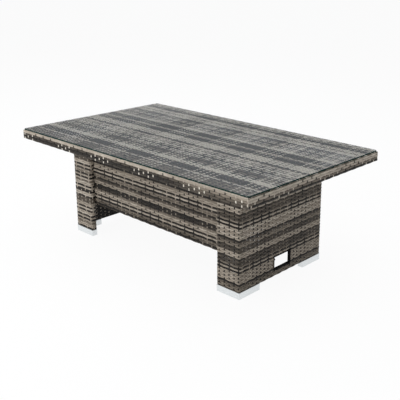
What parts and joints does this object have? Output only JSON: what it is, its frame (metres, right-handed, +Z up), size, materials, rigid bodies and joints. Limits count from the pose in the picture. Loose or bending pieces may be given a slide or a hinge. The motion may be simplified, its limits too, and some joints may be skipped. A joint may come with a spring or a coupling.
{
  "type": "rising table",
  "caption": "Low garden table with a glass-covered woven top that lifts on posts round a locking gas spring, and a woven base with a foot pedal.",
  "frame": {"origin": "on the floor under the middle of the table", "axes": "+X towards the end with the foot hole, -Y towards the front long side, +Z up"},
  "size_m": [1.45, 0.85, 0.518],
  "materials": {
    "woven_rattan": "flat woven plastic rattan in mixed grey-brown strands",
    "clear_glass": "clear toughened sheet with a green edge",
    "foot_aluminium": "satin silver",
    "frame_coat": "satin black powder coat on aluminium tube",
    "black_plastic": "fine moulded grain",
    "clear_silicone": "soft translucent pad",
    "black_rubber": "matte",
    "plated_steel": "bright zinc plate",
    "polished_rod": "ground and hard chromed",
    "cylinder_paint": "smooth black paint on steel"
  },
  "bodies": {
    "base": {"end_frame_left": "frame_coat", "end_frame_right": "frame_coat", "end_weave_left": "woven_rattan", "end_weave_right": "woven_rattan", "foot_cap_back_left": "foot_aluminium", "foot_cap_back_right": "foot_aluminium", "foot_cap_front_left": "foot_aluminium", "foot_cap_front_right": "foot_aluminium", "foot_hole_liner": "black_plastic", "frame_bolts": "plated_steel", "glide_pads": "black_plastic", "guide_bushes": "black_plastic", "guide_tube_back_left": "frame_coat", "guide_tube_back_right": "frame_coat", "guide_tube_front_left": "frame_coat", "guide_tube_front_right": "frame_coat", "leg_weave_back_left": "woven_rattan", "leg_weave_back_right": "woven_rattan", "leg_weave_front_left": "woven_rattan", "leg_weave_front_right": "woven_rattan", "lift_beam": "frame_coat", "lower_beam_left": "frame_coat", "lower_beam_right": "frame_coat", "pedal_bracket": "plated_steel", "piston_rod": "polished_rod", "pivot_pins": "plated_steel", "release_head": "plated_steel", "rest_bumpers": "black_rubber", "skirt_frame_back": "frame_coat", "skirt_frame_front": "frame_coat", "skirt_weave_back": "woven_rattan", "skirt_weave_front": "woven_rattan", "upper_tie_left": "frame_coat", "upper_tie_right": "frame_coat", "valve_spring": "plated_steel"},
    "top": {"glass_top": "clear_glass", "glass_pads": "clear_silicone", "top_weave": "woven_rattan", "top_rail_front": "frame_coat", "top_rail_back": "frame_coat", "top_rail_left": "frame_coat", "top_rail_right": "frame_coat", "post_bar_left": "frame_coat", "post_bar_right": "frame_coat", "lift_bar": "frame_coat", "inner_post_front_left": "frame_coat", "inner_post_front_right": "frame_coat", "inner_post_back_left": "frame_coat", "inner_post_back_right": "frame_coat", "post_screws": "plated_steel", "post_plugs": "black_plastic", "gas_cylinder": "cylinder_paint", "cylinder_nut": "plated_steel"},
    "pedal": {"pedal_lever": "frame_coat", "tread_pad": "black_rubber"},
    "pull_rod": {"pull_rod": "plated_steel", "rod_pins": "plated_steel"},
    "release_lever": {"release_lever": "plated_steel"},
    "release_pin": {"release_pin": "plated_steel"}
  },
  "joints": [
    {"name": "top_lift", "type": "slide", "parent": "base", "child": "top", "axis": [0, 0, 1], "range_m": [0, 0.16]},
    {"name": "pedal_press", "type": "hinge", "parent": "base", "child": "pedal", "pos_m": [0.44, 0, 0.102], "axis": [0, 1, 0], "range_deg": [0, 10], "stiffness_Nm_per_rad": 6, "springref_deg": -5.73},
    {"name": "rod_pull", "type": "slide", "parent": "base", "child": "pull_rod", "axis": [1, 0, 0], "range_m": [0, 0.01412]},
    {"name": "lever_turn", "type": "hinge", "parent": "base", "child": "release_lever", "pos_m": [-0.013, 0, 0.222], "axis": [0, -1, 0], "range_deg": [0, 19.43]},
    {"name": "pin_push", "type": "slide", "parent": "base", "child": "release_pin", "axis": [0, 0, 1], "range_m": [0, 0.00461], "deforming": ["valve_spring"]}
  ],
  "couplings": [
    {"joint": "rod_pull", "follows": "pedal_press", "m_per_rad": 0.080822},
    {"joint": "lever_turn", "follows": "pedal_press", "ratio": 1.9425},
    {"joint": "pin_push", "follows": "pedal_press", "m_per_rad": 0.026356}
  ]
}
